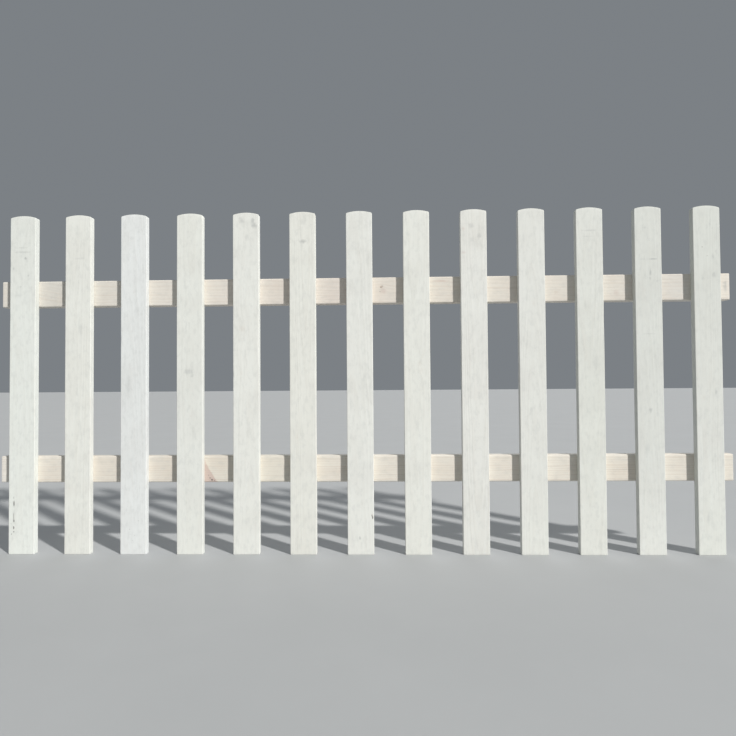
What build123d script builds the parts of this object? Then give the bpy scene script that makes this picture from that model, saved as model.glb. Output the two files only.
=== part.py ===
from build123d import *
import math
import os

# Picket fence panel: thirteen upright pickets with low domed tops, fixed to the
# front of two horizontal rails by countersunk wood screws driven from the back.
# Millimetres. +Z up, +X along the panel, the pickets' faces look along -Y.
# Origin: centre of the footprint, at the height of the pickets' feet.

# ---- driving dimensions -----------------------------------------------------
PICKET_COUNT = 13
PITCH = 142.0            # centre to centre of neighbouring pickets
PICKET_W = 65.0          # along X
PICKET_T = 18.0          # along Y
PICKET_H = 852.0         # foot to the crown of the top
CROWN_RISE = 5.0         # height of the domed top's arc over its ends
SHOULDER_R = 3.5         # rounding where the dome meets the sides
PICKET_EDGE_R = 1.2      # long edges and the edges round the domed top
FOOT_CHAMFER = 0.8       # edges round the square-cut foot

RAIL_L = 1830.0          # along X
RAIL_H = 66.0            # along Z
RAIL_T = 28.0            # along Y
RAIL_EDGE_R = 3.0        # long edges
RAIL_END_R = 1.2         # edges round the sawn ends
TOP_RAIL_Z = 622.0       # underside of the top rail
BOTTOM_RAIL_Z = 176.0    # underside of the bottom rail

SCREW_L = 40.0           # overall
SCREW_D = 4.0            # over the thread
SCREW_CORE_D = 2.8       # root of the thread
SCREW_SHANK_D = 3.2      # plain shank under the head
SCREW_PLAIN_L = 16.0     # length of the plain shank, head included
SCREW_HEAD_D = 8.0
SCREW_HEAD_RIM = 0.5     # cylindrical rim of the head
SCREW_TIP_L = 5.0
THREAD_PITCH = 2.0
SCREW_SINK = 0.4         # head below the rail's back face
SCREW_DX = 17.0          # screws stand on a diagonal of each crossing
SCREW_DZ = 17.0
CLEARANCE_D = 4.3        # hole through the rail

DEPTH = PICKET_T + RAIL_T
Y_FRONT = -DEPTH / 2.0           # front faces of the pickets
Y_JOIN = Y_FRONT + PICKET_T      # pickets' backs, rails' fronts
Y_BACK = DEPTH / 2.0             # back faces of the rails

picket_x = [(i - (PICKET_COUNT - 1) / 2.0) * PITCH for i in range(PICKET_COUNT)]
rails = {"top_rail": TOP_RAIL_Z, "bottom_rail": BOTTOM_RAIL_Z}


def screw_points(x):
    """Axes of the four screws of the picket at x: (x, z) pairs."""
    pts = []
    for z0 in (TOP_RAIL_Z, BOTTOM_RAIL_Z):
        zc = z0 + RAIL_H / 2.0
        pts.append((x - SCREW_DX, zc + SCREW_DZ))
        pts.append((x + SCREW_DX, zc - SCREW_DZ))
    return pts


# ---- screw, head at y = 0 looking along +Y, point along -Y -------------------
def make_screw():
    r_head, r_rim = SCREW_HEAD_D / 2.0, SCREW_HEAD_RIM
    cone = r_head - SCREW_SHANK_D / 2.0
    # half profile in (radius, depth below the head's top)
    prof = [(0, 0), (r_head, 0), (r_head, r_rim), (SCREW_SHANK_D / 2.0, r_rim + cone),
            (SCREW_SHANK_D / 2.0, SCREW_PLAIN_L)]
    d = SCREW_PLAIN_L
    end = SCREW_L - SCREW_TIP_L
    # thread drawn as rings at the thread's pitch
    while d + THREAD_PITCH <= end + 1e-6:
        prof += [(SCREW_CORE_D / 2.0, d + 0.35 * THREAD_PITCH),
                 (SCREW_CORE_D / 2.0, d + 0.55 * THREAD_PITCH),
                 (SCREW_D / 2.0, d + 0.9 * THREAD_PITCH),
                 (SCREW_D / 2.0, d + THREAD_PITCH)]
        d += THREAD_PITCH
    prof += [(SCREW_CORE_D / 2.0, d + 0.6), (SCREW_CORE_D / 2.0 - 0.15, end + 1.0), (0, SCREW_L)]
    pts = [(r, -y) for r, y in prof]
    face = Face(Wire.make_polygon([Vector(a, b, 0) for a, b in pts], close=True))
    body = revolve(face, Axis.Y, 360)
    # six-lobed driver recess
    recess = Pos(0, 0, 0) * Rot(-90, 0, 0) * Cylinder(1.35, 3.6)
    for k in range(6):
        a = math.radians(60 * k)
        recess += Pos(1.45 * math.cos(a), 0, 1.45 * math.sin(a)) * Rot(-90, 0, 0) * Cylinder(0.42, 3.6)
    return body - recess


screw = make_screw()
if isinstance(screw, (list, ShapeList)):
    screw = screw[0]


def solid_of(shape):
    return shape.solids()[0] if len(shape.solids()) == 1 else shape


screw = solid_of(screw)


# ---- picket ------------------------------------------------------------------
def make_picket(x):
    w, h, rise = PICKET_W / 2.0, PICKET_H, CROWN_RISE
    outline = Face(Wire([
        Edge.make_line(Vector(-w, 0, 0), Vector(w, 0, 0)),
        Edge.make_line(Vector(w, 0, 0), Vector(w, 0, h - rise)),
        Edge.make_three_point_arc(Vector(w, 0, h - rise), Vector(0, 0, h), Vector(-w, 0, h - rise)),
        Edge.make_line(Vector(-w, 0, h - rise), Vector(-w, 0, 0)),
    ]))
    outline = outline.fillet_2d(SHOULDER_R, [v for v in outline.vertices() if v.Z > h / 2.0])
    body = solid_of(extrude(outline, amount=PICKET_T, dir=Vector(0, 1, 0)))
    # the eased edges run up both sides and over the dome, front and back
    eased = []
    for e in body.edges():
        eb = e.bounding_box()
        if eb.max.Z > 1.0 and (abs(eb.max.Y) < 1e-4 or abs(eb.min.Y - PICKET_T) < 1e-4):
            eased.append(e)
    body = solid_of(body.fillet(PICKET_EDGE_R, eased))
    foot_edges = [e for e in body.edges() if e.bounding_box().max.Z < 1e-4]
    try:
        body = solid_of(body.chamfer(FOOT_CHAMFER, None, foot_edges))
    except Exception as err:
        print("foot chamfer left out:", err)
    body = Pos(x, Y_FRONT, 0) * body
    # pilot holes: cut to the screws' own thread, blind from the back
    reach = SCREW_L + SCREW_SINK - RAIL_T
    for px, pz in screw_points(x):
        hole = Pos(px, Y_JOIN - (reach - SCREW_TIP_L) / 2.0, pz) * Rot(90, 0, 0) * \
            Cylinder(SCREW_D / 2.0, reach - SCREW_TIP_L)
        point = Pos(px, Y_JOIN - (reach - SCREW_TIP_L) - SCREW_TIP_L / 2.0, pz) * Rot(90, 0, 0) * \
            Cone(SCREW_D / 2.0, 0.15, SCREW_TIP_L)
        body = body - (hole + point)
    return solid_of(body)


# ---- rail ----------------------------------------------------------------------
def make_rail(z0):
    body = Pos(0, Y_JOIN + RAIL_T / 2.0, z0 + RAIL_H / 2.0) * Box(RAIL_L, RAIL_T, RAIL_H)
    body = solid_of(body)
    long_edges = [e for e in body.edges() if abs(e.length - RAIL_L) < 1e-3]
    body = solid_of(body.fillet(RAIL_EDGE_R, long_edges))
    end_edges = [e for e in body.edges()
                 if e.bounding_box().size.X < 1e-3]
    body = solid_of(body.fillet(RAIL_END_R, end_edges))
    sink_r = SCREW_HEAD_D / 2.0 + 0.15
    for x in picket_x:
        for px, pz in screw_points(x):
            if not (z0 < pz < z0 + RAIL_H):
                continue
            through = Pos(px, Y_JOIN + RAIL_T / 2.0, pz) * Rot(90, 0, 0) * \
                Cylinder(CLEARANCE_D / 2.0, RAIL_T + 2)
            rim = Pos(px, Y_BACK - (SCREW_SINK + SCREW_HEAD_RIM) / 2.0, pz) * Rot(90, 0, 0) * \
                Cylinder(sink_r, SCREW_SINK + SCREW_HEAD_RIM)
            cone_l = sink_r - CLEARANCE_D / 2.0
            sink = Pos(px, Y_BACK - SCREW_SINK - SCREW_HEAD_RIM - cone_l / 2.0, pz) * Rot(90, 0, 0) * \
                Cone(sink_r, CLEARANCE_D / 2.0, cone_l)
            body = body - (through + rim + sink)
    return solid_of(body)


os.makedirs("parts", exist_ok=True)

made = {}
for i, x in enumerate(picket_x):
    made["picket_%02d" % (i + 1)] = make_picket(x)
    screws = [screw.moved(Location((px, Y_BACK - SCREW_SINK, pz))) for px, pz in screw_points(x)]
    made["screws_picket_%02d" % (i + 1)] = Compound(children=screws)
for name, z0 in rails.items():
    made[name] = make_rail(z0)

for name, shape in made.items():
    export_step(shape, "parts/%s.step" % name)

box = Compound(children=[s for s in made.values()]).bounding_box()
print("overall", [round(v, 2) for v in (box.size.X, box.size.Y, box.size.Z)],
      "low corner", [round(v, 2) for v in (box.min.X, box.min.Y, box.min.Z)])
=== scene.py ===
# Looks of the picket fence panel: whitewashed pickets and rails with real grain
# relief, knots, marks and countersunk screws, standing on a pale studio floor.
import math

import bmesh
import bpy
import numpy as np
from mathutils import Matrix, Vector


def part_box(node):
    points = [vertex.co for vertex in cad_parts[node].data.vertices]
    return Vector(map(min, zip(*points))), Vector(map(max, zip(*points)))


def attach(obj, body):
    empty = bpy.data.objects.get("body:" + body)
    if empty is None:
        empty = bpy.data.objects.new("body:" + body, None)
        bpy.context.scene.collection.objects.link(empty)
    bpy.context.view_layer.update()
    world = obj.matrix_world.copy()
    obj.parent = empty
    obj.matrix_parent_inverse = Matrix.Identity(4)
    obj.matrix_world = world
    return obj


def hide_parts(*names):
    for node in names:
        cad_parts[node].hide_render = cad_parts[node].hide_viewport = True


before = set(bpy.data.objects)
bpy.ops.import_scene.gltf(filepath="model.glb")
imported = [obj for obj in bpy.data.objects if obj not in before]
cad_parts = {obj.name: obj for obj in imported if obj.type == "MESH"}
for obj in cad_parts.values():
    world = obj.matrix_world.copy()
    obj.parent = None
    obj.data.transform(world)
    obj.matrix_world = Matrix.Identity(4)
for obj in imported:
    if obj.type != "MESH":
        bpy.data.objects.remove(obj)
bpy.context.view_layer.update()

MM = 0.001
N_PICKETS = 13


# ------------------------------------------------------------------ helpers
def smooth(a, b, x):
    t = np.clip((x - a) / (b - a), 0.0, 1.0)
    return t * t * (3.0 - 2.0 * t)


class Noise:
    """Seeded smooth value noise on a repeating lattice, about -1 to 1."""

    def __init__(self, seed):
        self.t = np.random.RandomState(seed).uniform(-1, 1, (32, 32, 32))

    def __call__(self, x, y, z, octaves=2):
        out, amp, tot = 0.0, 1.0, 0.0
        for k in range(octaves):
            f = 2.0 ** k
            out = out + amp * self.one(x * f + 7.3 * k, y * f + 3.1 * k, z * f + 5.7 * k)
            tot += amp
            amp *= 0.5
        return out / tot

    def one(self, x, y, z):
        x, y, z = np.broadcast_arrays(x, y, z)
        i, j, k = (np.floor(v).astype(int) for v in (x, y, z))
        u, v, w = (q - np.floor(q) for q in (x, y, z))
        u, v, w = (q * q * (3 - 2 * q) for q in (u, v, w))
        t = self.t
        r = 0.0
        for a in (0, 1):
            for b in (0, 1):
                for c in (0, 1):
                    wt = (u if a else 1 - u) * (v if b else 1 - v) * (w if c else 1 - w)
                    r = r + wt * t[(i + a) % 32, (j + b) % 32, (k + c) % 32]
        return r


# ------------------------------------------------------------------ the timber
class Board:
    """A planed board in its own axes, in millimetres: p across the width, q through
    the thickness (0 is the front face), l along the grain. It is built as one closed
    mesh with domed or sawn ends, screw holes, grain relief and a UV layout."""

    def __init__(self, width, thick, length, edge_r, crown, top_r, foot_r, seed, bits):
        self.w, self.t, self.L, self.r = width, thick, length, edge_r
        self.crown, self.top_r, self.foot_r = crown, top_r, foot_r
        self.sh = 2.5           # reach of the rounding where the dome meets the sides
        self.seed, self.bits = seed, bits
        self.co, self.faces, self.uv = [], [], []
        self.holes = bits.get("holes", [])

    # height of the end over the board's width
    def top(self, p):
        if not self.crown:
            return np.full_like(np.asarray(p, float), self.L)
        h, c = self.w / 2.0, self.crown
        R = (h * h + c * c) / (2.0 * c)
        k = np.clip((np.abs(p) - (h - self.sh)) / self.sh, 0.0, 1.0)
        return self.L - R + np.sqrt(np.maximum(R * R - np.square(p), 0.0)) - self.sh * (1 - np.sqrt(1 - k * k))

    def lines(self, lo, hi, step, patches, fine):
        """Grid lines from lo to hi: uniform 1 mm cells inside each patch."""
        marks = sorted({lo, hi, *[v for a, b in patches for v in (a, b)]})
        out = [lo]
        for a, b in zip(marks[:-1], marks[1:]):
            inside = any(c - 1e-6 <= a and b <= d + 1e-6 for c, d in patches)
            if inside:
                n = int(round((b - a) / 1.0))
            else:
                n = max(1, int(math.ceil((b - a) / step)))
            seg = np.linspace(a, b, n + 1)[1:]
            out.extend(seg.tolist())
        if fine:
            extra = []
            for a, b, s in fine:
                extra.extend(np.arange(max(a, lo + 1), min(b, hi - 1), s).tolist())
            for e in sorted(extra):
                if any(c - 0.6 < e < d + 0.6 for c, d in patches):
                    continue
                if min(abs(e - o) for o in out) > 0.55:
                    out.append(e)
            out = sorted(out)
        return np.array(out)

    def build(self):
        w, t, r = self.w, self.t, self.r
        hs = self.bits.get("patch", 3.0)
        flat = w / 2.0 - r
        p_lines = self.lines(-flat, flat, self.bits.get("p_step", 1.3),
                             [(h[0] - hs, h[0] + hs) for h in self.holes_p()], None)
        n = len(p_lines)
        arc = [math.radians(a) for a in (18, 36, 54, 72)]
        side = np.linspace(r, t - r, self.bits.get("n_side", 7))
        pts, nor = [], []

        def add(p, q, a, b):
            pts.append((p, q)); nor.append((a, b))
        for p in p_lines:
            add(p, 0.0, 0.0, -1.0)
        for a in arc:
            add(flat + r * math.sin(a), r - r * math.cos(a), math.sin(a), -math.cos(a))
        for q in side:
            add(w / 2.0, q, 1.0, 0.0)
        for a in arc:
            add(flat + r * math.cos(a), t - r + r * math.sin(a), math.cos(a), math.sin(a))
        back0 = len(pts)
        for p in p_lines[::-1]:
            add(p, t, 0.0, 1.0)
        for a in arc:
            add(-flat - r * math.sin(a), t - r + r * math.cos(a), -math.sin(a), math.cos(a))
        for q in side[::-1]:
            add(-w / 2.0, q, -1.0, 0.0)
        for a in arc:
            add(-flat - r * math.cos(a), r - r * math.sin(a), -math.cos(a), -math.sin(a))
        per, nor = np.array(pts), np.array(nor)
        m = len(per)
        # developed length round the section
        step = np.linalg.norm(np.roll(per, -1, 0) - per, axis=1)
        s = np.concatenate([[0], np.cumsum(step)])
        self.s_total = s[-1]

        # rings along the board
        fr, tr = self.foot_r, self.top_r
        nominal = self.L - self.crown - (self.sh if self.crown else 0.0)
        inner = self.lines(fr, nominal - tr, self.bits.get("l_step", 5.0),
                           [(h[1] - hs, h[1] + hs) for h in self.holes], self.bits.get("fine"))
        blend0 = nominal - tr - 14.0
        rings = []          # (l values for each perimeter point, inset)
        for a in (90, 66, 44, 22):
            a = math.radians(a)
            rings.append((np.full(m, fr * (1 - math.sin(a))), fr * (1 - math.cos(a))))
        for lv in inner:
            if lv <= blend0 or not self.crown:
                rings.append((np.full(m, lv), 0.0))
            else:
                k = (lv - blend0) / (nominal - tr - blend0)
                rings.append((blend0 + k * (self.top(per[:, 0]) - tr - blend0), 0.0))
        for a in (22, 44, 66, 90):
            a = math.radians(a)
            d = tr * (1 - math.cos(a))
            pp = per[:, 0] - nor[:, 0] * d
            rings.append((self.top(pp) - tr * (1 - math.sin(a)), d))
        R = len(rings)
        co = np.zeros((R, m, 3))
        for j, (lv, d) in enumerate(rings):
            co[j, :, 0] = per[:, 0] - nor[:, 0] * d
            co[j, :, 1] = per[:, 1] - nor[:, 1] * d
            co[j, :, 2] = lv
        verts = co.reshape(-1, 3).tolist()
        l_of = np.array([float(np.mean(lv)) for lv, _ in rings])
        # patches: cells left out where a hole comes through
        drop = {}
        loops = []
        first_l = 4
        for hi, (hp, hl, kind) in enumerate(self.holes):
            j0 = first_l + int(np.argmin(np.abs(inner - (hl - hs))))
            j1 = first_l + int(np.argmin(np.abs(inner - (hl + hs))))
            i0 = int(np.argmin(np.abs(p_lines - (hp - hs))))
            i1 = int(np.argmin(np.abs(p_lines - (hp + hs))))
            for face in (["back"] if kind == "blind" else ["back", "front"]):
                if face == "front":
                    ia, ib = i0, i1
                else:
                    ia, ib = back0 + (n - 1 - i1), back0 + (n - 1 - i0)
                for j in range(j0, j1):
                    for i in range(ia, ib):
                        drop[(j, i)] = hi
                loop = [(j0, i) for i in range(ia, ib)] + [(j, ib) for j in range(j0, j1)] + \
                    [(j1, i) for i in range(ib, ia, -1)] + [(j, ia) for j in range(j1, j0, -1)]
                loops.append((hi, face, [j * m + i for j, i in loop]))
        faces, uvs = [], []
        U0, U1, V0, V1 = 0.012, 0.988, 0.010, 0.880

        def uv_wall(j_l, s_):
            return (U0 + (U1 - U0) * j_l / self.L, V0 + (V1 - V0) * s_ / self.s_total)
        for j in range(R - 1):
            for i in range(m):
                if (j, i) in drop:
                    continue
                i2 = (i + 1) % m
                faces.append((j * m + i, j * m + i2, (j + 1) * m + i2, (j + 1) * m + i))
                uvs.append([uv_wall(co[j, i, 2], s[i]), uv_wall(co[j, i2, 2], s[i + 1]),
                            uv_wall(co[j + 1, i2, 2], s[i + 1]), uv_wall(co[j + 1, i, 2], s[i])])
        # patches and holes
        wall_v = {}
        spans = {hi: {} for hi in range(len(self.holes))}
        for hi, face, loop in loops:
            hp, hl, kind = self.holes[hi]
            lv = np.array([verts[k] for k in loop])
            ang = np.arctan2(lv[:, 2] - hl, lv[:, 0] - hp)
            q = t if face == "back" else 0.0
            r_open = {"blind": 2.0, "sink": 4.15}[kind] if face == "back" else 2.15
            base = s[back0 + 0] if face == "back" else s[0]

            def s_at(p):
                return (s[back0] + (p_lines[-1] - p)) if face == "back" else (s[0] + (p - p_lines[0]))
            rings_ = [loop]
            far = np.hypot(lv[:, 0] - hp, lv[:, 2] - hl)
            for f in (0.5, 0.0):
                rad = r_open + (far - r_open) * f
                idx = []
                for a, rr in zip(ang, rad):
                    idx.append(len(verts))
                    verts.append([hp + rr * math.cos(a), q, hl + rr * math.sin(a)])
                rings_.append(idx)
            for A, B in zip(rings_[:-1], rings_[1:]):
                for k in range(len(A)):
                    k2 = (k + 1) % len(A)
                    f = (A[k], A[k2], B[k2], B[k])
                    faces.append(f)
                    uvs.append([uv_wall(verts[v][2], s_at(verts[v][0])) for v in f])
            spans[hi][face] = (rings_[-1], ang)
        # hole walls, laid out in a strip of the map
        cells = max(1, len(self.holes))
        for hi, ends in spans.items():
            hp, hl, kind = self.holes[hi]
            loop, ang = ends["back"]
            if kind == "blind":
                depth = self.bits["depth"]
                levels = [(2.0, t - depth + 5.0)]
                tip = t - depth
            else:
                levels = [(4.15, t - 0.9), (2.15, t - 2.9)]
                tip = None
            u_a = U0 + (U1 - U0) * hi / cells
            u_b = U0 + (U1 - U0) * (hi + 0.8) / cells
            prev = loop
            sets = [loop]
            for rad, q in levels:
                idx = []
                for a in ang:
                    idx.append(len(verts))
                    verts.append([hp + rad * math.cos(a), q, hl + rad * math.sin(a)])
                sets.append(idx)
            if kind == "sink":
                front, fang = ends["front"]
                order = []
                for a in ang:   # the front circle's points in the back circle's order
                    order.append(front[int(np.argmin(np.abs(np.angle(np.exp(1j * (fang - a))))))])
                sets.append(order)
            K = len(sets)
            for kk, (A, B) in enumerate(zip(sets[:-1], sets[1:])):
                va, vb = 0.972 + 0.02 * kk / K, 0.972 + 0.02 * (kk + 1) / K
                for k in range(len(A)):
                    k2 = (k + 1) % len(A)
                    ua = u_a + (u_b - u_a) * k / len(A)
                    ub = u_a + (u_b - u_a) * (k + 1) / len(A)
                    faces.append((A[k], A[k2], B[k2], B[k]))
                    uvs.append([(ua, va), (ub, va), (ub, vb), (ua, vb)])
            if tip is not None:
                c = len(verts)
                verts.append([hp, tip, hl])
                A = sets[-1]
                va, vb = 0.972 + 0.02 * (K - 1) / K, 0.992
                for k in range(len(A)):
                    k2 = (k + 1) % len(A)
                    ua = u_a + (u_b - u_a) * k / len(A)
                    ub = u_a + (u_b - u_a) * (k + 1) / len(A)
                    faces.append((A[k], A[k2], c))
                    uvs.append([(ua, va), (ub, va), ((ua + ub) / 2, vb)])
        # ends: loops that close on the section's middle line
        self.end_first = len(verts)
        for end in (0, 1):
            ring = 0 if end == 0 else R - 1
            base = co[ring]
            mid = np.clip(base[:, 0], -w / 2 + t / 2, w / 2 - t / 2)
            loops_ = [[ring * m + i for i in range(m)]]
            for k in (0.22, 0.46, 0.70, 0.90):
                p = base[:, 0] + (mid - base[:, 0]) * k
                q = base[:, 1] + (t / 2 - base[:, 1]) * k
                lv = np.zeros(m) if end == 0 else self.top(p)
                ids = list(range(len(verts), len(verts) + m))
                verts.extend(np.stack([p, q, lv], 1).tolist())
                loops_.append(ids)
            u_mid = 0.25 if end == 0 else 0.75

            def uv_end(v):
                # as fine along the board as the walls are, finer across it
                return (u_mid + verts[v][0] / w * min(0.44, 3.0 * w / self.L * (U1 - U0)),
                        0.928 + (verts[v][1] / t - 0.5) * 0.070)
            for A, B in zip(loops_[:-1], loops_[1:]):
                for i in range(m):
                    i2 = (i + 1) % m
                    f = (A[i], A[i2], B[i2], B[i])
                    faces.append(f)
                    uvs.append([uv_end(v) for v in f])
            last = loops_[-1]
            for i in range(n - 1):          # front points meet the back points
                f = (last[i], last[i + 1], last[back0 + n - 2 - i], last[back0 + n - 1 - i])
                faces.append(f)
                uvs.append([uv_end(v) for v in f])
            right = [last[i] for i in range(n - 1, back0 + 1)]
            left = [last[i % m] for i in range(back0 + n - 1, m + 1)]
            for f in (tuple(right), tuple(left)):
                faces.append(f)
                uvs.append([uv_end(v) for v in f])
        self.verts = np.array(verts, float)
        self.faces, self.uvs = faces, uvs
        self.weld()
        return self

    def weld(self):
        """Joins points that fall together where the roundings of a corner meet."""
        key = np.round(self.verts / 0.02).astype(np.int64)
        _, first, back = np.unique(key, axis=0, return_index=True, return_inverse=True)
        back = back.ravel()
        faces, uvs = [], []
        for f, u in zip(self.faces, self.uvs):
            ids = [int(back[v]) for v in f]
            keep = [k for k in range(len(ids)) if ids[k] != ids[k - 1]]
            if len({ids[k] for k in keep}) < 3:
                continue
            faces.append(tuple(ids[k] for k in keep))
            uvs.append([u[k] for k in keep])
        self.verts, self.faces, self.uvs = self.verts[first], faces, uvs

    def holes_p(self):
        seen = {}
        for h in self.holes:
            seen[round(h[0], 3)] = h
        return list(seen.values())

    # fields that the shader and the relief share -----------------------------
    def fields(self, nor):
        p, q, l = self.verts.T
        b = self.bits
        N = Noise(self.seed)
        # growth rings round a pith that lies behind the board and drifts along it
        p0 = b["pith"][0] + b["pith"][2] * (l - self.L / 2) + 3.0 * N(l / 260.0, 0.3, 0.1)
        q0 = b["pith"][1] + b["pith"][3] * (l - self.L / 2) + 4.0 * N(l / 340.0, 5.3, 0.7)
        rad = np.hypot(p - p0, q - q0)
        rad = rad + 1.3 * N(p / 22.0, q / 22.0, l / 150.0) + 0.5 * N(p / 7.0, q / 9.0, l / 60.0 + 9)
        knot = np.zeros(len(p)); halo = np.zeros(len(p))
        for kp, kl, kr, strength, faces_ in b.get("knots", []):
            d = np.hypot((p - kp) / 1.0, (l - kl) / 1.25)
            if faces_ == "front":
                vis = smooth(self.t * 0.85, self.t * 0.45, q)
            elif faces_ == "back":
                vis = smooth(self.t * 0.15, self.t * 0.55, q)
            else:
                vis = 1.0
            flow = np.exp(-np.square(p - kp) / (2 * (2.6 * kr) ** 2) - np.square(l - kl) / (2 * (5.5 * kr) ** 2))
            rad = rad + vis * 2.6 * kr * flow * strength
            knot = np.maximum(knot, vis * strength * smooth(kr * 1.15, kr * 0.8, d))
            halo = np.maximum(halo, vis * strength * np.exp(-np.square(d / (2.0 * kr))))
        phase = rad / b["ring"]
        phase = phase + 0.55 * N(phase / 1.9, 3.3, 7.7, 2)      # wide and narrow years
        # marks: soft grey rubs, dark specks and warm stains, each where it belongs
        rub = np.zeros(len(p)); speck = np.zeros(len(p)); warm = np.zeros(len(p))
        front = smooth(4.0, 1.5, q)
        jag = N(p / 3.1, q / 3.0, l / 4.3, 3)
        for mp, ml, rp, rl, s_ in b.get("rubs", []):
            d = np.hypot((p - mp) / rp, (l - ml) / rl) + 0.45 * jag
            rub = np.maximum(rub, s_ * front * smooth(1.15, 0.35, d))
        for mp, ml, rp, rl, s_ in b.get("specks", []):
            d = np.hypot((p - mp) / rp, (l - ml) / rl) + 0.22 * jag
            speck = np.maximum(speck, s_ * front * smooth(1.25, 0.6, d))
        for mp, ml, rp, rl, s_ in b.get("stains", []):
            d = np.hypot((p - mp) / rp, (l - ml) / rl) + 0.40 * jag
            warm = np.maximum(warm, s_ * front * smooth(1.2, 0.3, d))
        for l0, l1, pa, pb, s_ in b.get("wedges", []):
            e = (l - l0) / (l1 - l0) - (p - pa) / (pb - pa) + 0.10 * jag
            side = smooth(l0 - 22, l0 - 8, l) * smooth(0.04, -0.06, e)
            warm = np.maximum(warm, s_ * front * side)
            knot = np.maximum(knot, 0.55 * s_ * front * smooth(l0 - 10, l0, l) * np.exp(-np.square((e + 0.03) / 0.035))
                              * smooth(pa, pb, p))
        ends = np.clip(np.abs(nor[:, 2]), 0, 1)
        ends = smooth(0.55, 0.9, ends)
        # thin coat along the arrises
        e1 = np.abs(np.abs(p) - (self.w / 2 - self.r * 0.3)) + np.minimum(np.abs(q - self.r * 0.3),
                                                                         np.abs(self.t - self.r * 0.3 - q))
        arris = np.exp(-np.square(e1 / 1.6)) * smooth(-0.25, 0.75, N(p / 9, q / 9, l / 34.0, 3))
        # where the grain shows more or less
        band = np.clip(b.get("band", 1.0) * (0.85 + 0.75 * N(p / 15.0, q / 15.0 + 2.2, l / 95.0, 2)), 0.0, 3.0)
        return dict(phase=phase, knot=knot, halo=halo, rub=rub, speck=speck, warm=warm,
                    ends=ends, arris=arris, band=band), N

    def object(self, name, place, tint_and_painted_shade):
        """place maps (p, q, l) in mm to the frame in metres."""
        me = bpy.data.meshes.new(name)
        me.from_pydata([place(v) for v in self.verts], [], self.faces)
        layer = me.uv_layers.new(name="OFBake")
        flat = np.array([c for f in self.uvs for c in f], np.float32)
        layer.data.foreach_set("uv", flat.ravel())
        bm = bmesh.new()
        bm.from_mesh(me)
        bmesh.ops.recalc_face_normals(bm, faces=bm.faces)
        open_edges = sum(1 for e in bm.edges if not e.is_manifold)
        if open_edges:
            print("open edges in", name, open_edges)
        bm.to_mesh(me)
        bm.free()
        me.update()
        nor_w = np.zeros(len(self.verts) * 3)
        me.vertices.foreach_get("normal", nor_w)
        nor_w = nor_w.reshape(-1, 3)
        axes = [np.array(place((1, 0, 0))) - np.array(place((0, 0, 0))),
                np.array(place((0, 1, 0))) - np.array(place((0, 0, 0))),
                np.array(place((0, 0, 1))) - np.array(place((0, 0, 0)))]
        nor = np.stack([nor_w @ (a / np.linalg.norm(a)) for a in axes], 1)
        F, N = self.fields(nor)
        p, q, l = self.verts.T
        b = self.bits
        # relief: latewood stands a little proud, fine brush lines, soft dents on the arrises
        fr = F["phase"] - np.floor(F["phase"])
        late = smooth(0.35, 0.85, fr) * (1 - smooth(0.90, 1.0, fr))
        wall = 1 - F["ends"]
        rise = b.get("relief", 0.05) * (late - 0.4) * wall
        rise = rise + 0.05 * N(p / 6.0, q / 6.0, l / 70.0, 2) * wall
        rise = rise + 0.035 * N(p / 1.6, q / 1.6, l / 22.0, 1) * wall
        rise = rise - 0.10 * F["knot"] * (1 - np.abs(N(p / 2.0, q / 2.0, l / 2.0))) + 0.06 * F["halo"]
        rise = rise - 0.12 * F["ends"] * np.abs(N(p / 1.5, q / 1.5, l, 2))
        rise = rise - 0.5 * F["speck"] * b.get("speck_depth", 0.35)
        rng = np.random.RandomState(self.seed + 11)
        for _ in range(b.get("dents", 7)):
            dp, dq = rng.choice([-1, 1]) * self.w / 2, rng.choice([0.0, self.t], p=[0.6, 0.4])
            dl, dr = rng.uniform(10, self.L - 10), rng.uniform(1.6, 4.5)
            d = np.sqrt(np.square((p - dp) / dr) + np.square((q - dq) / dr) + np.square((l - dl) / (dr * rng.uniform(1.5, 4))))
            rise = rise - rng.uniform(0.15, 0.5) * np.exp(-np.square(d) * 1.2)
        # no relief inside the screw holes or round their mouths
        keep = np.ones(len(p))
        for hp, hl, kind in self.holes:
            rr = np.hypot(p - hp, l - hl)
            keep = np.minimum(keep, smooth(4.3 if kind == "sink" else 2.1, 6.0, rr))
        rise = np.clip(rise * keep, -0.6, 0.12)
        moved = np.array([place(v) for v in self.verts]) + nor_w * (rise * MM)[:, None]
        # a long, slight bow, as dried timber has
        bow = b.get("bow", (0.0, 0.0))
        shape = np.square(2 * l / self.L - 1) - 0.4
        moved += np.outer(shape * bow[0] * MM, axes[0] / np.linalg.norm(axes[0]))
        moved[:, 2] = np.maximum(moved[:, 2], 0.0)
        me.vertices.foreach_set("co", moved.ravel())
        for k, v in F.items():
            me.attributes.new(k, "FLOAT", "POINT").data.foreach_set("value", v.astype(np.float32))
        rs = np.random.RandomState(self.seed + 3)
        shift = rs.uniform(-3, 3, 3)
        wood = self.verts * MM + shift
        me.attributes.new("wood", "FLOAT_VECTOR", "POINT").data.foreach_set("vector", wood.astype(np.float32).ravel())
        # tint stops along the board, (l, colour): the board's own tone, and on pickets 1 and 10 to 13 also painted
        # shade darker towards the tops and painted floor light brighter towards the feet
        if not isinstance(tint_and_painted_shade[0], tuple):
            tint_and_painted_shade = ((0.0, tint_and_painted_shade),)
        at = [s_[0] for s_ in tint_and_painted_shade]
        col = np.stack([np.interp(l, at, [s_[1][c] for s_ in tint_and_painted_shade]) for c in range(3)] + [np.ones(len(p))], 1).astype(np.float32)
        me.attributes.new("tint_and_painted_shade", "FLOAT_COLOR", "POINT").data.foreach_set("color", col.ravel())
        me.polygons.foreach_set("use_smooth", [True] * len(me.polygons))
        me.update()
        ob = bpy.data.objects.new(name, me)
        bpy.context.scene.collection.objects.link(ob)
        return ob


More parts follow.
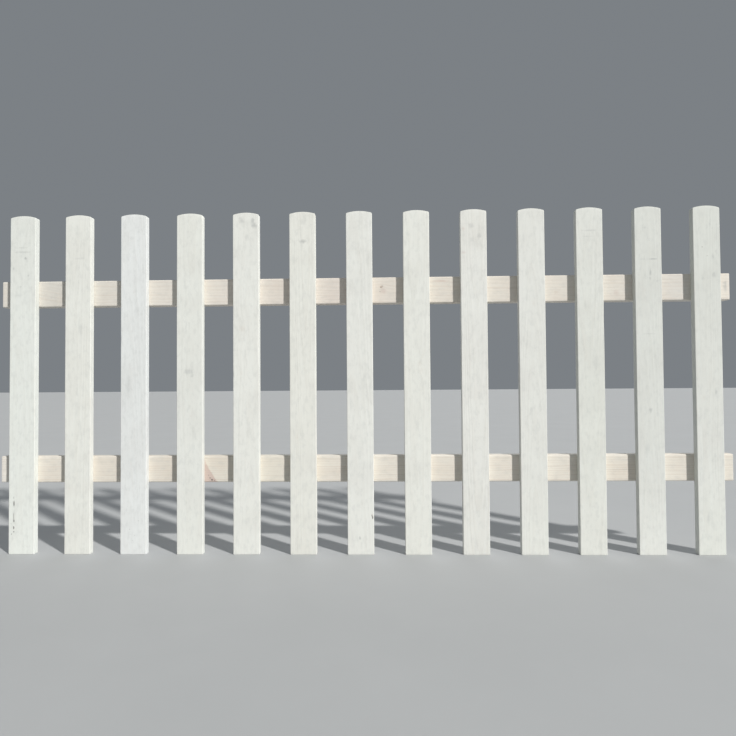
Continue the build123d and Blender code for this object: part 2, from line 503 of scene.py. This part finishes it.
# ------------------------------------------------------------------ materials
class Nodes:
    def __init__(self, name):
        self.mat = bpy.data.materials.new(name)
        self.mat.use_nodes = True
        self.nt = self.mat.node_tree
        self.nt.nodes.clear()
        self.out = self.nt.nodes.new("ShaderNodeOutputMaterial")
        self.bsdf = self.nt.nodes.new("ShaderNodeBsdfPrincipled")
        self.nt.links.new(self.bsdf.outputs[0], self.out.inputs[0])

    def put(self, socket, v):
        if hasattr(v, "links") or isinstance(v, bpy.types.NodeSocket):
            self.nt.links.new(v, socket)
        else:
            socket.default_value = v

    def attr(self, name, kind="Fac"):
        n = self.nt.nodes.new("ShaderNodeAttribute")
        n.attribute_name = name
        return n.outputs[kind]

    def math(self, op, a, b=0.0, c=None, clamp=False):
        n = self.nt.nodes.new("ShaderNodeMath")
        n.operation, n.use_clamp = op, clamp
        self.put(n.inputs[0], a)
        self.put(n.inputs[1], b)
        if c is not None:
            self.put(n.inputs[2], c)
        return n.outputs[0]

    def scale(self, v, by):
        n = self.nt.nodes.new("ShaderNodeVectorMath")
        n.operation = "MULTIPLY"
        self.put(n.inputs[0], v)
        n.inputs[1].default_value = by
        return n.outputs[0]

    def noise(self, v, scale=1.0, detail=3.0, rough=0.5, distort=0.0):
        n = self.nt.nodes.new("ShaderNodeTexNoise")
        self.put(n.inputs["Vector"], v)
        n.inputs["Scale"].default_value = scale
        n.inputs["Detail"].default_value = detail
        n.inputs["Roughness"].default_value = rough
        n.inputs["Distortion"].default_value = distort
        return n.outputs["Fac"]

    def ramp(self, v, stops):
        n = self.nt.nodes.new("ShaderNodeMapRange")
        n.interpolation_type = "SMOOTHSTEP"
        (a, x), (b, y) = stops
        self.put(n.inputs["Value"], v)
        n.inputs["From Min"].default_value = a
        n.inputs["From Max"].default_value = b
        n.inputs["To Min"].default_value = x
        n.inputs["To Max"].default_value = y
        return n.outputs["Result"]

    def mix(self, f, a, b, blend="MIX"):
        n = self.nt.nodes.new("ShaderNodeMix")
        n.data_type, n.blend_type = "RGBA", blend
        self.put(n.inputs[0], f)
        self.put(n.inputs[6], a if not isinstance(a, tuple) else (*a, 1.0)[:4])
        self.put(n.inputs[7], b if not isinstance(b, tuple) else (*b, 1.0)[:4])
        return n.outputs[2]

    def bump(self, height, strength, distance, normal=None):
        n = self.nt.nodes.new("ShaderNodeBump")
        n.inputs["Strength"].default_value = strength
        n.inputs["Distance"].default_value = distance
        self.put(n.inputs["Height"], height)
        if normal is not None:
            self.nt.links.new(normal, n.inputs["Normal"])
        return n.outputs[0]


def timber(name, paint, paint_thin, early, late_c, coat_bands, coat_fibres, coat_broad, rough):
    """Whitewashed softwood. paint is the coat, early and late_c the wood under it."""
    N = Nodes(name)
    wood = N.attr("wood", "Vector")
    # rings, at full sharpness from the smooth phase, with a little waviness
    wob = N.noise(N.scale(wood, (160.0, 160.0, 22.0)), 1.0, 3.0, 0.55)
    ph = N.math("ADD", N.attr("phase"), N.math("MULTIPLY", N.math("SUBTRACT", wob, 0.5), 0.55))
    fr = N.math("FRACT", ph)
    late = N.math("MULTIPLY", N.ramp(fr, ((0.25, 0.0), (0.88, 1.0))), N.ramp(fr, ((0.90, 1.0), (1.0, 0.0))))
    year = N.nt.nodes.new("ShaderNodeTexWhiteNoise")
    year.noise_dimensions = "1D"
    N.put(year.inputs["W"], N.math("FLOOR", ph))
    late = N.math("MULTIPLY", late, N.math("ADD", N.math("MULTIPLY", year.outputs["Value"], 0.85), 0.35))
    # fibres: long thin streaks, and short pores
    fib = N.noise(N.scale(wood, (900.0, 900.0, 14.0)), 1.0, 4.0, 0.6)
    pore = N.noise(N.scale(wood, (2200.0, 2200.0, 60.0)), 1.0, 2.0, 0.5)
    broad = N.noise(N.scale(wood, (60.0, 60.0, 3.0)), 1.0, 3.0, 0.5)
    cloud = N.noise(wood, 14.0, 3.0, 0.5)
    # bare wood
    bare = N.mix(late, early, late_c)
    bare = N.mix(N.math("MULTIPLY", N.ramp(fib, ((0.35, 0.0), (0.7, 1.0))), 0.35), bare, tuple(c * 0.72 for c in late_c))
    bare = N.mix(N.attr("knot"), bare, (0.22, 0.11, 0.055))
    bare = N.mix(N.math("MULTIPLY", N.attr("halo"), 0.55), bare, (0.48, 0.28, 0.16))
    # how much wood shows through the coat
    show = N.math("MULTIPLY", N.math("MULTIPLY", late, coat_bands), N.attr("band"))
    show = N.math("ADD", show, N.math("MULTIPLY", N.ramp(fib, ((0.45, 0.0), (0.78, 1.0))), coat_fibres))
    show = N.math("ADD", show, N.math("MULTIPLY", N.ramp(broad, ((0.42, 0.0), (0.75, 1.0))), coat_broad))
    show = N.math("ADD", show, N.math("MULTIPLY", N.attr("knot"), 0.30))
    show = N.math("ADD", show, N.math("MULTIPLY", N.attr("halo"), 0.10))
    show = N.math("ADD", show, N.math("MULTIPLY", N.attr("arris"), 0.22))
    show = N.math("ADD", show, N.math("MULTIPLY", N.attr("ends"), 0.12), clamp=True)
    coat = N.mix(N.ramp(cloud, ((0.35, 0.0), (0.70, 1.0))), paint, paint_thin)
    # the coat times the per-vertex tint: the board's tone, plus painted shade and painted floor light along some
    # pickets
    coat = N.mix(1.0, coat, N.attr("tint_and_painted_shade", "Color"), "MULTIPLY")
    base = N.mix(show, coat, bare)
    # pores, rubs, stains and specks
    base = N.mix(N.math("MULTIPLY", N.ramp(pore, ((0.62, 0.0), (0.80, 1.0))), 0.10), base, (0.42, 0.40, 0.36))
    # faint neutral mottling, as a wiped coat has
    mot = N.noise(N.scale(wood, (110.0, 110.0, 55.0)), 1.0, 5.0, 0.62)
    base = N.mix(N.math("MULTIPLY", N.ramp(mot, ((0.44, 0.0), (0.72, 1.0))), 0.18), base, (0.40, 0.42, 0.41))
    base = N.mix(N.math("MULTIPLY", N.attr("warm"), 0.66), base, (0.50, 0.365, 0.325))
    base = N.mix(N.math("MULTIPLY", N.attr("rub"), 0.55), base, (0.37, 0.385, 0.38))
    base = N.mix(N.attr("speck"), base, (0.10, 0.09, 0.085))
    N.put(N.bsdf.inputs["Base Color"], base)
    r = N.math("ADD", N.math("MULTIPLY", fib, 0.16), rough)
    r = N.math("SUBTRACT", r, N.math("MULTIPLY", N.attr("rub"), 0.08))
    N.put(N.bsdf.inputs["Roughness"], N.math("ADD", r, N.math("MULTIPLY", N.attr("ends"), 0.08), clamp=True))
    N.bsdf.inputs["Specular IOR Level"].default_value = 0.32
    # relief too fine for the mesh: fibres, pores and ring edges
    h = N.math("ADD", N.math("MULTIPLY", fib, 0.55), N.math("MULTIPLY", late, 0.30))
    h = N.math("SUBTRACT", h, N.math("MULTIPLY", N.ramp(pore, ((0.60, 0.0), (0.80, 1.0))), 0.35))
    h = N.math("SUBTRACT", h, N.math("MULTIPLY", N.attr("speck"), 0.8))
    N.put(N.bsdf.inputs["Normal"], N.bump(h, 0.55, 0.00022))
    return N.mat


picket_mat = timber("whitewash_picket", (0.781, 0.788, 0.751), (0.750, 0.753, 0.716),
                    (0.70, 0.63, 0.52), (0.50, 0.42, 0.33), 0.045, 0.048, 0.035, 0.52)
rail_mat = timber("whitewash_rail", (0.787, 0.744, 0.670), (0.762, 0.706, 0.627),
                  (0.72, 0.62, 0.50), (0.50, 0.36, 0.26), 0.17, 0.12, 0.08, 0.56)


def steel():
    N = Nodes("screw_stainless")
    tc = N.nt.nodes.new("ShaderNodeTexCoord")
    o = tc.outputs["Object"]
    spots = N.noise(o, 900.0, 3.0, 0.6)
    fine = N.noise(N.scale(o, (4000.0, 900.0, 4000.0)), 1.0, 2.0, 0.5)
    c = N.mix(N.ramp(spots, ((0.40, 0.0), (0.72, 1.0))), (0.58, 0.56, 0.52), (0.40, 0.38, 0.34))
    N.put(N.bsdf.inputs["Base Color"], c)
    N.bsdf.inputs["Metallic"].default_value = 1.0
    N.put(N.bsdf.inputs["Roughness"], N.math("ADD", N.math("MULTIPLY", spots, 0.22), 0.22))
    N.put(N.bsdf.inputs["Normal"], N.bump(fine, 0.25, 0.00005))
    return N.mat


steel_mat = steel()

# ------------------------------------------------------------------ sizes, from the frame
p_boxes = [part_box("picket_%02d" % (i + 1)) for i in range(N_PICKETS)]
r_boxes = {n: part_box(n) for n in ("top_rail", "bottom_rail")}
pk_lo, pk_hi = p_boxes[0]
PW, PT, PH = ((pk_hi - pk_lo) / MM)[:]
centres = [((lo.x + hi.x) / 2 / MM) for lo, hi in p_boxes]
RAIL_Z = {n: ((b[0].z + b[1].z) / 2 / MM) for n, b in r_boxes.items()}
RL, RT, RH = ((r_boxes["top_rail"][1] - r_boxes["top_rail"][0]) / MM)[:]
X0 = (r_boxes["top_rail"][0].x) / MM
Y_FRONT = pk_lo.y / MM
Y_JOIN = pk_hi.y / MM
DX = DZ = 17.0


def screws_at(x):
    pts = []
    for z in (RAIL_Z["top_rail"], RAIL_Z["bottom_rail"]):
        pts += [(x - DX, z + DZ), (x + DX, z - DZ)]
    return pts


# what sets each picket apart: (p, l, ...) with p from its middle and l from its foot, in mm. The tint stops along l on
# pickets 1 and 10 to 13 are painted light and painted shade: brighter feet as if lit from the floor, darker tops as if
# shaded.
PICKETS = {
    1: dict(tint_and_painted_shade=((0, (1.03, 1.05, 1.045)), (420, (1.0, 1.02, 1.015)), (852, (0.985, 1.0, 0.995))),
            specks=[(-19, 126, 1.5, 7.0, .8), (-19.5, 92, 1.0, 13.0, .5), (-19, 83, 1.6, 3.2, .8), (-19.5, 66, 1.6, 3.6, .85),
                    (-19, 56, 1.3, 2.6, .65), (-25, 50, 1.3, 2.4, .45), (-20, 141, 1.4, 3.5, .3), (-26.5, 76, .9, 2.2, .3)],
            rubs=[(6.5, 744, 4.5, 4.0, 1.0), (0, 760, 24, 2.2, .55), (-3, 771, 18, 1.8, .4), (-24, 718, 3.5, 4, .7),
                  (14, 700, 2.5, 3.0, .6), (-12, 650, 12, 6, .35), (-6, 672, 3, 3, .4)]),
    2: dict(tint_and_painted_shade=(1.01, 1.01, 0.997), rubs=[(6, 560, 7, 16, .25), (-12, 250, 6, 18, .2), (4, 742, 14, 3, .3)]),
    3: dict(tint_and_painted_shade=((0, (1.005, 1.02, 1.06)), (420, (0.965, 0.98, 1.015)), (852, (1.01, 1.025, 1.065))),
            specks=[(-9, 62, .9, .9, .6), (4, 47, .8, .8, .5), (13, 83, .9, 1.1, .55), (-2, 34, .7, .7, .5)],
            rubs=[(-14, 420, 8, 30, .25), (8, 610, 10, 12, .2)]),
    4: dict(tint_and_painted_shade=((0, (1.005, 1.01, 1.0)), (340, (0.975, 0.98, 0.975)), (852, (1.01, 1.015, 1.0))), rubs=[(-3, 455, 12, 9, .6), (6, 443, 6, 5, .45), (10, 300, 6, 22, .22)]),
    5: dict(tint_and_painted_shade=(1.008, 1.008, 1.0), rubs=[(17.5, 831, 5.5, 12, .85), (22, 819, 8.5, 7.5, .95), (-9.5, 831, 8, 6.5, .5), (-15, 838, 5, 4, .3),
                                            (2, 790, 5, 9, .25)],
            knots=[(-9, 560, 5.5, .35, "front")]),
    6: dict(tint_and_painted_shade=(1.0, 0.995, 0.975), rubs=[(2, 777, 9, 5.5, .85), (1, 826, 10, 8, .35)], specks=[(2, 777, 2.2, 1.2, .12)], ring=3.0,
            relief=0.07, band=1.5),
    7: dict(tint_and_painted_shade=(1.0, 1.0, 0.995), specks=[(29.0, 91, 1.4, 4.2, 1.0), (27.4, 96.5, 1.0, 2.2, .9)],
            rubs=[(-2.3, 41, 2.8, 5.2, .9), (10, 430, 6, 24, .18)], stains=[(28, 97, 2.5, 6, .35)]),
    8: dict(tint_and_painted_shade=(1.0, 1.0, 0.985), knots=[(8, 470, 4.5, .28, "front")], rubs=[(-9, 600, 7, 12, .22)]),
    9: dict(tint_and_painted_shade=((0, (0.993, 0.988, 0.985)), (735, (0.993, 0.988, 0.985)), (795, (0.975, 0.965, 0.955)), (852, (0.985, 0.978, 0.97))),
            stains=[(-25, 803, 5, 5, .45), (-25, 745, 6, 3.5, .4)], relief=0.085, ring=3.2, band=1.8,
            rubs=[(-6, 810, 7, 7, .6), (15, 785, 8, 6.5, .6), (-4, 778, 6, 7, .35)]),
    10: dict(tint_and_painted_shade=((0, (0.995, 1.0, 0.99)), (330, (0.965, 0.965, 0.96)), (852, (0.955, 0.955, 0.95))), rubs=[(-6, 350, 5, 14, .28)]),
    11: dict(tint_and_painted_shade=((0, (0.995, 1.0, 0.985)), (380, (0.93, 0.94, 0.92)), (852, (0.93, 0.935, 0.925))),
             rubs=[(0, 795, 22, 2.0, .5), (-5, 780, 16, 1.6, .4), (12, 470, 7, 20, .3)]),
    12: dict(tint_and_painted_shade=((0, (0.995, 1.0, 0.995)), (300, (0.905, 0.915, 0.91)), (852, (0.875, 0.885, 0.875))),
             rubs=[(9, 722, 13, 2.3, 1.0), (-12, 722, 9, 1.6, .4), (5, 689, 3.0, 8, 1.0), (4, 674, 2.0, 4, .6), (-1, 352, 5, 6, .75),
                   (-7, 800, 5, 3, .4), (21, 668, 3, 4, .4),
                   (-10, 260, 7, 14, .28), (0, 538, 22, 1.6, .35)]),
    13: dict(tint_and_painted_shade=((0, (1.0, 1.015, 1.0)), (280, (0.93, 0.935, 0.93)), (852, (0.86, 0.875, 0.86))),
             rubs=[(16.2, 681, 5, 7, .7), (15, 727, 3, 9, .45), (21, 740, 3, 4, .4), (-9, 672, 5, 4, .3),
                   (15, 397, 4, 8, .55), (-8, 90, 5, 12, .3), (10, 240, 4, 6, .4)],
             specks=[(-11, 750, 1.0, 1.3, .5), (0.5, 728, 1.0, 1.2, .5), (9, 806, .9, 1.0, .4), (14, 796, .8, 1.0, .4)]),
}

made = []
for i in range(N_PICKETS):
    k = i + 1
    info = PICKETS[k]
    rs = np.random.RandomState(500 + k)
    bits = dict(
        pith=(rs.uniform(-16, 16), rs.uniform(34, 62), rs.uniform(-0.008, 0.008), rs.uniform(0.010, 0.034) * rs.choice([-1, 1])),
        ring=info.get("ring", rs.uniform(3.4, 4.8)), relief=info.get("relief", 0.05), band=info.get("band", 1.0),
        knots=list(info.get("knots", [])), rubs=info.get("rubs", []), specks=info.get("specks", []),
        stains=info.get("stains", []), dents=6, patch=3.0, depth=12.4, n_side=9, bow=(rs.uniform(-0.5, 0.5), 0),
        holes=[(px - centres[i], pz, "blind") for px, pz in screws_at(centres[i])])
    # a knot on the face that looks backwards, and a small one that barely shows in front
    bits["knots"].append((rs.uniform(-20, 20), rs.uniform(120, 760), rs.uniform(4, 8), .75, "back"))
    bits["knots"].append((rs.uniform(-20, 20), rs.uniform(120, 760), rs.uniform(2.5, 4.5), .22, "front"))
    fine = [(s_[1] - 6, s_[1] + 6, 1.0) for s_ in bits["specks"]]
    fine += [(s_[1] - 8, s_[1] + 8, 1.5) for s_ in bits["rubs"] if s_[3] < 6]
    bits["fine"] = fine
    board = Board(PW, PT, PH, 1.2, 5.0, 1.2, 0.8, 900 + 17 * k, bits).build()
    xc = centres[i]
    ob = board.object("picket_%02d_whitewashed" % k,
                      lambda v, xc=xc: ((xc + v[0]) * MM, (Y_FRONT + v[1]) * MM, v[2] * MM), info["tint_and_painted_shade"])
    ob.data.materials.append(picket_mat)
    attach(ob, "root")
    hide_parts("picket_%02d" % k)
    made.append(ob)

# rails: l runs along +X from the left end, p downwards from the rail's middle
RAILS = {
    "top_rail": dict(tint_and_painted_shade=((0, (0.93, 0.94, 0.955)), (135, (0.835, 0.85, 0.865)), (280, (0.885, 0.895, 0.905)), (500, (0.935, 0.935, 0.945)),
                           (850, (0.90, 0.88, 0.89)), (1100, (0.925, 0.925, 0.925)), (1550, (0.915, 0.92, 0.925)),
                           (1700, (0.88, 0.895, 0.92)), (1790, (0.96, 0.975, 0.985)), (1830, (0.99, 1.0, 1.01))),
                     knots=[(-8.6, 970, 3.0, .85, "front"), (10, 1404, 4, .35, "front"), (-8, 330, 7, .8, "back"),
                            (14, 1120, 6, .7, "back"), (-4, 72, 9, .5, "front")],
                     stains=[(2, 976, 8, 9, .45), (-22, 1119, 2.5, 24, .7), (12, 1554, 9, 7, .35)],
                     rubs=[(-3, 1819, 15, 4.5, .95)], band=0.7, specks=[(-7.5, 968.5, 1.2, 2.0, .75), (-10.8, 972, 0.9, 2.4, .6), (3.5, 966, 0.7, 1.6, .4)],
                     pith=(-62.0, 46.0, 0.006, -0.008), ring=6.4),
    "bottom_rail": dict(tint_and_painted_shade=((0, (1.03, 1.05, 1.08)), (60, (0.965, 0.97, 0.97)), (420, (0.91, 0.905, 0.895)), (700, (0.92, 0.925, 0.905)),
                              (850, (0.95, 0.955, 0.955)), (1830, (0.96, 0.965, 0.96))),
                        knots=[(-10, 760, 7, .8, "back"), (12, 1500, 5, .7, "back"), (3, 1290, 4, .2, "front")],
                        wedges=[(524, 552, -16, 31, 1.0)],
                        stains=[(26, 537, 4, 5, .7)], rubs=[],
                        specks=[(27.5, 540, 1.9, 2.6, 1.0), (22.5, 535, 1.5, 1.6, .8), (29.5, 546, 1.0, 2.2, .7), (16, 531, 1.6, 1.0, .5)],
                        pith=(-78.0, 30.0, 0.004, 0.010), ring=5.6),
}
for name, info in RAILS.items():
    rs = np.random.RandomState(77 if name == "top_rail" else 78)
    zc = RAIL_Z[name]
    holes = []
    for x in centres:
        for px, pz in screws_at(x):
            if abs(pz - zc) < RH / 2:
                holes.append((zc - pz, px - X0, "sink"))
    bits = dict(pith=info["pith"], ring=info["ring"], relief=0.07, band=info.get("band", 1.0),
                knots=info["knots"], rubs=info["rubs"],
                specks=info["specks"], wedges=info.get("wedges", []),
                stains=info["stains"], dents=12, patch=6.0, bow=(rs.uniform(-0.4, 0.4), 0),
                holes=holes, n_side=12, l_step=4.5, p_step=1.6,
                fine=[(s_[1] - 6, s_[1] + 6, 1.0) for s_ in info["specks"]])
    board = Board(RH, RT, RL, 3.0, 0.0, 1.2, 1.2, 4000 + rs.randint(100), bits).build()
    ob = board.object(name + "_whitewashed",
                      lambda v, zc=zc: ((X0 + v[2]) * MM, (Y_JOIN + v[1]) * MM, (zc - v[0]) * MM), info["tint_and_painted_shade"])
    ob.data.materials.append(rail_mat)
    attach(ob, "root")
    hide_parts(name)
    made.append(ob)

for i in range(N_PICKETS):
    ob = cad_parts["screws_picket_%02d" % (i + 1)]
    for k in range(len(ob.material_slots)):
        ob.material_slots[k].material = steel_mat
    if not ob.material_slots:
        ob.data.materials.append(steel_mat)

# ------------------------------------------------------------------ stage, light, camera
scene = bpy.context.scene
scene.view_settings.view_transform = "Standard"
scene.view_settings.look = "None"

fm = bpy.data.meshes.new("floor")
S = 30.0
fm.from_pydata([(-S, -S, 0), (S, -S, 0), (S, S, 0), (-S, S, 0)], [], [(0, 1, 2, 3)])
floor = bpy.data.objects.new("floor", fm)
scene.collection.objects.link(floor)
F = Nodes("floor_pale")
tcf = F.nt.nodes.new("ShaderNodeTexCoord").outputs["Object"]
mott = F.noise(tcf, 3.0, 4.0, 0.6)
F.put(F.bsdf.inputs["Base Color"], F.mix(mott, (0.43, 0.44, 0.445), (0.47, 0.48, 0.485)))
F.bsdf.inputs["Roughness"].default_value = 0.9
F.bsdf.inputs["Specular IOR Level"].default_value = 0.2
fm.materials.append(F.mat)

world = bpy.data.worlds.new("studio")
scene.world = world
world.use_nodes = True
wn = world.node_tree
wn.nodes.clear()
wo = wn.nodes.new("ShaderNodeOutputWorld")
bg = wn.nodes.new("ShaderNodeBackground")
bg.inputs["Color"].default_value = (0.53, 0.575, 0.62, 1)
bg.inputs["Strength"].default_value = 0.38
wn.links.new(bg.outputs[0], wo.inputs[0])

sun = bpy.data.lights.new("key", "SUN")
sun.energy = 3.70
sun.angle = math.radians(3.0)
sun.color = (1.0, 0.985, 0.955)
so = bpy.data.objects.new("key", sun)
scene.collection.objects.link(so)
az, el = math.radians(46.0), math.radians(33.0)
to_sun = Vector((math.sin(az) * math.cos(el), -math.cos(az) * math.cos(el), math.sin(el)))
so.rotation_euler = to_sun.to_track_quat("Z", "Y").to_euler()

back = bpy.data.lights.new("back_fill", "SUN")      # a wide soft light on the rail side
back.energy = 0.9
back.angle = math.radians(60.0)
back.color = (0.97, 0.985, 1.0)
bo = bpy.data.objects.new("back_fill", back)
scene.collection.objects.link(bo)
bo.rotation_euler = Vector((0.30, 0.80, 0.55)).to_track_quat("Z", "Y").to_euler()

cam = bpy.data.cameras.new("camera")
cam.sensor_width = 36.0
cam.lens = 600.0 / 736.0 * 36.0
cam.clip_start, cam.clip_end = 0.05, 100.0
co_ = bpy.data.objects.new("camera", cam)
scene.collection.objects.link(co_)
scene.camera = co_
yaw, pitch, roll = (math.radians(a) for a in (-1.717, 1.349, -0.404))
fw = Vector((math.sin(yaw) * math.cos(pitch), math.cos(yaw) * math.cos(pitch), math.sin(pitch)))
right = Vector((math.cos(yaw), -math.sin(yaw), 0.0))
up = right.cross(fw)
r2 = right * math.cos(roll) + up * math.sin(roll)
u2 = -right * math.sin(roll) + up * math.cos(roll)
rot = Matrix((r2, u2, -fw)).transposed()
co_.matrix_world = Matrix.Translation(Vector((0.0649, -1.4859 + Y_FRONT * MM, 0.4247))) @ rot.to_4x4()
